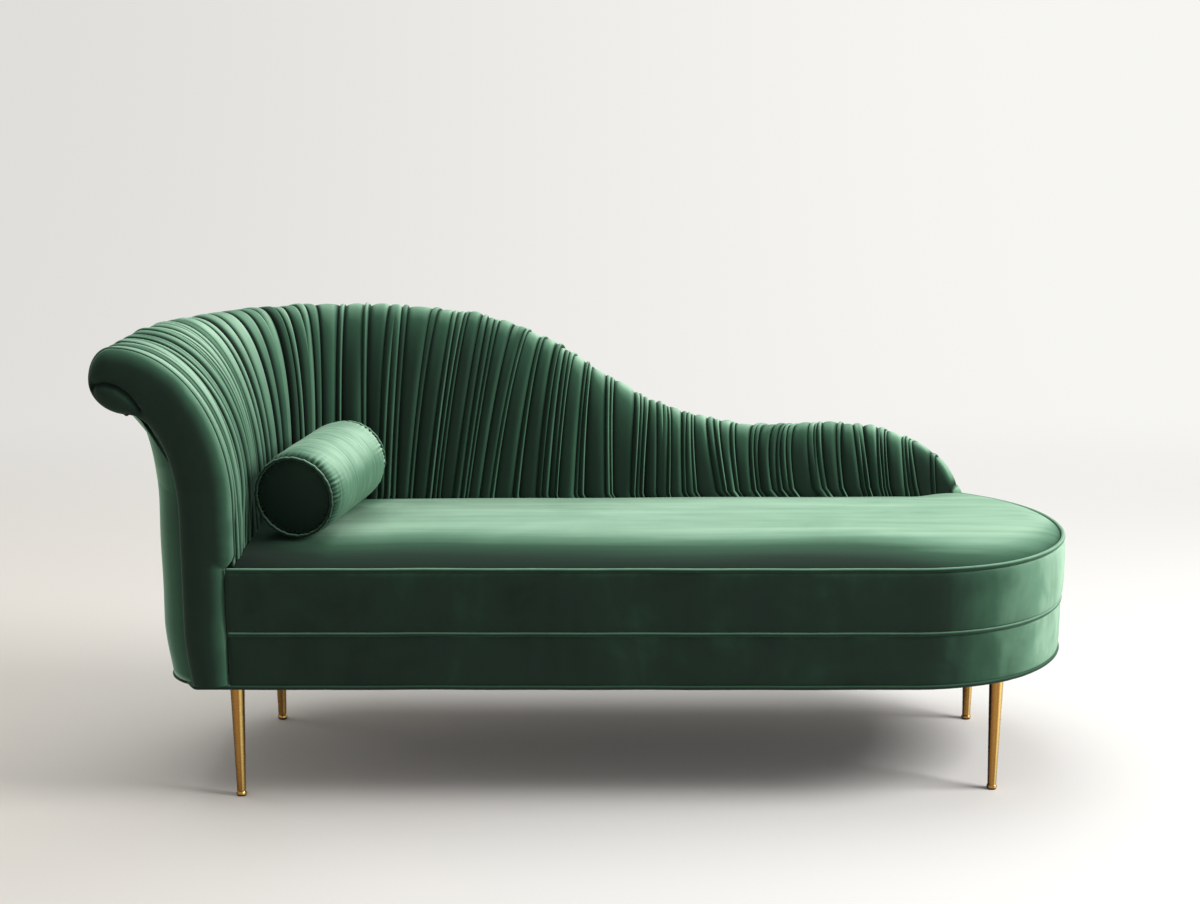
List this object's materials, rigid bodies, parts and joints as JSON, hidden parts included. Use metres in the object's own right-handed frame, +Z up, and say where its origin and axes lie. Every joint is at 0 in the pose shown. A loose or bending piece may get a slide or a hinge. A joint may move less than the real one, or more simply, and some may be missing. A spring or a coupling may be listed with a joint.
{
  "type": "chaise longue",
  "caption": "Velvet chaise longue with a pleated sloping back, scrolled arm, rounded foot end, tapered brass legs and a loose bolster.",
  "frame": {"origin": "on the floor, below the centre of the overall box", "axes": "+X towards the rounded foot end, +Y from the open front to the back, +Z up"},
  "size_m": [1.788, 0.6474, 0.8465],
  "materials": {
    "velvet": "matte",
    "velvet_cord": "matte",
    "bolster_velvet": "matte",
    "foam": "matte",
    "frame_timber": "matte",
    "plywood": "matte",
    "card_panel": "matte",
    "black_cloth": "matte",
    "spring_wire": "satin",
    "zinc_steel": "satin",
    "brass": "satin",
    "nylon": "matte"
  },
  "bodies": {
    "root": {"back_foam": "foam", "back_rail": "frame_timber", "back_ribs": "plywood", "bottom_welt_back": "velvet_cord", "bottom_welt_front": "velvet_cord", "crest_rails": "frame_timber", "cross_rails": "frame_timber", "deck_cloth": "black_cloth", "dust_cover": "black_cloth", "facing_board": "plywood", "facing_cover": "velvet", "facing_pad": "foam", "facing_welt": "velvet_cord", "foot_bow": "frame_timber", "foot_bow_back": "frame_timber", "front_rail": "frame_timber", "glide_back_foot": "nylon", "glide_back_head": "nylon", "glide_front_foot": "nylon", "glide_front_head": "nylon", "head_bow": "frame_timber", "head_rail": "frame_timber", "hem_welt": "velvet_cord", "leg_back_foot": "brass", "leg_back_head": "brass", "leg_blocks": "frame_timber", "leg_front_foot": "brass", "leg_front_head": "brass", "leg_plates": "zinc_steel", "leg_screws": "zinc_steel", "leg_studs": "zinc_steel", "lower_band": "velvet", "mid_welt": "velvet_cord", "outside_cover": "velvet", "outside_panel": "card_panel", "pleated_cover": "velvet", "seat_foam": "foam", "seat_top": "velvet", "spring_clips": "spring_wire", "spring_rail": "frame_timber", "spring_ties": "spring_wire", "springs": "spring_wire", "tip_back_foot": "brass", "tip_back_head": "brass", "tip_front_foot": "brass", "tip_front_head": "brass", "top_welt": "velvet_cord", "upper_band": "velvet", "waist_rails": "frame_timber"},
    "bolster": {"bolster_core": "foam", "bolster_cover": "bolster_velvet", "bolster_end_far": "bolster_velvet", "bolster_end_near": "bolster_velvet", "bolster_welt_far": "bolster_velvet", "bolster_welt_near": "bolster_velvet"}
  },
  "joints": [
    {"name": "bolster_lift", "type": "slide", "parent": "root", "child": "bolster", "axis": [0, 0, 1], "range_m": [0, 0.45]}
  ]
}
